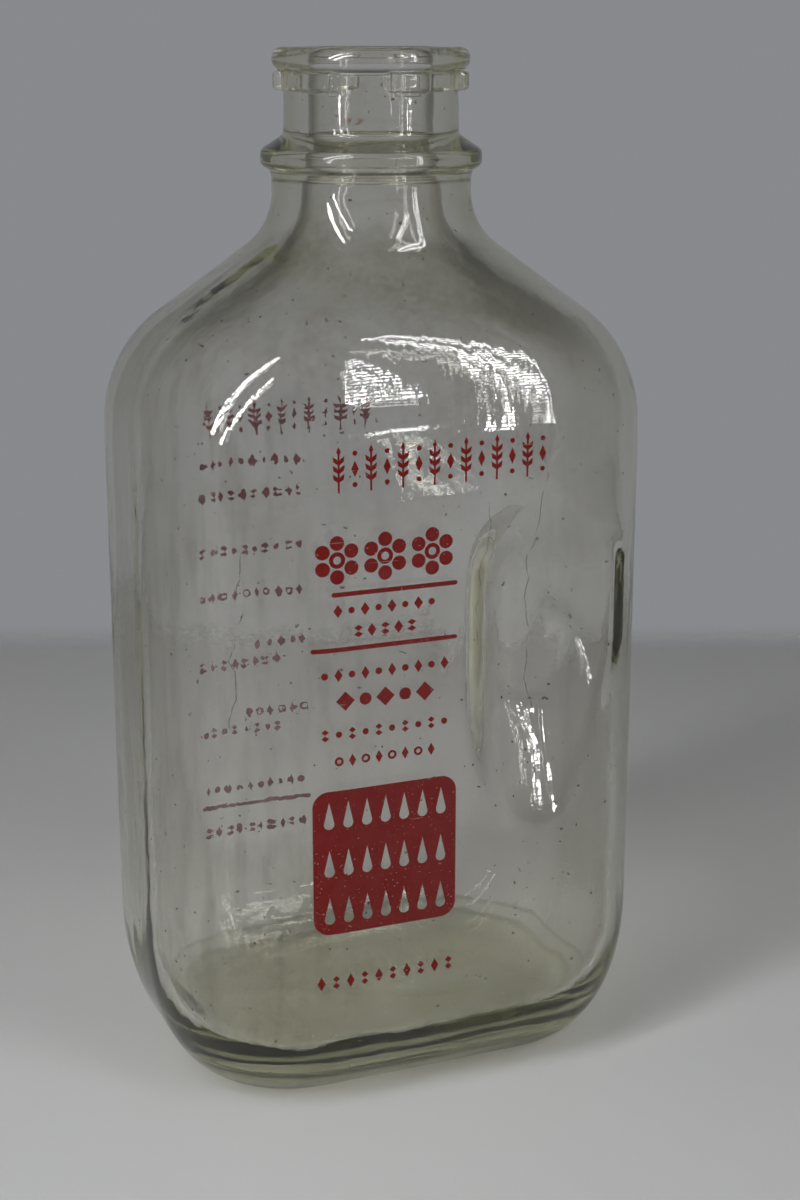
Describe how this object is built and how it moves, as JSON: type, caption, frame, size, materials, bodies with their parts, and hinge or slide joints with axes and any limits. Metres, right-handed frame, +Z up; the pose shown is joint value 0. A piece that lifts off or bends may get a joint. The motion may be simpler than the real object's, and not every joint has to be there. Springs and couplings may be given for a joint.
{
  "type": "glass milk bottle",
  "caption": "Rectangular glass milk bottle with rounded shoulders, collar, lugged rim, finger grip and fused enamel ornament on both wide faces.",
  "frame": {"origin": "centre of the footprint on the table, under the mouth's axis", "axes": "+Z up through the mouth, X along the wide face with the finger grip at +X, -Y out of the front face"},
  "size_m": [0.1326, 0.0976, 0.26],
  "materials": {
    "bottle_glass": "clear moulded glass, faint olive tint, gloss",
    "front_enamel": "fired red enamel, slightly worn satin gloss",
    "back_enamel": "fired red enamel, worn satin gloss"
  },
  "bodies": {
    "root": {"glass_bottle": "bottle_glass", "front_grain_band": "front_enamel", "front_flowers": "front_enamel", "front_upper_rule": "front_enamel", "front_lozenge_row": "front_enamel", "front_short_row": "front_enamel", "front_lower_rule": "front_enamel", "front_dotted_row": "front_enamel", "front_bold_row": "front_enamel", "front_leaf_row": "front_enamel", "front_bead_row": "front_enamel", "front_panel": "front_enamel", "front_foot_row": "front_enamel", "back_grain_band": "back_enamel", "back_dotted_row": "back_enamel", "back_lozenge_row": "back_enamel", "back_leaf_row": "back_enamel", "back_bead_row": "back_enamel", "back_short_row": "back_enamel", "back_wide_row": "back_enamel", "back_dash_row": "back_enamel", "back_ring_row": "back_enamel", "back_rule": "back_enamel", "back_foot_row": "back_enamel", "back_mark_row": "back_enamel"}
  },
  "joints": []
}
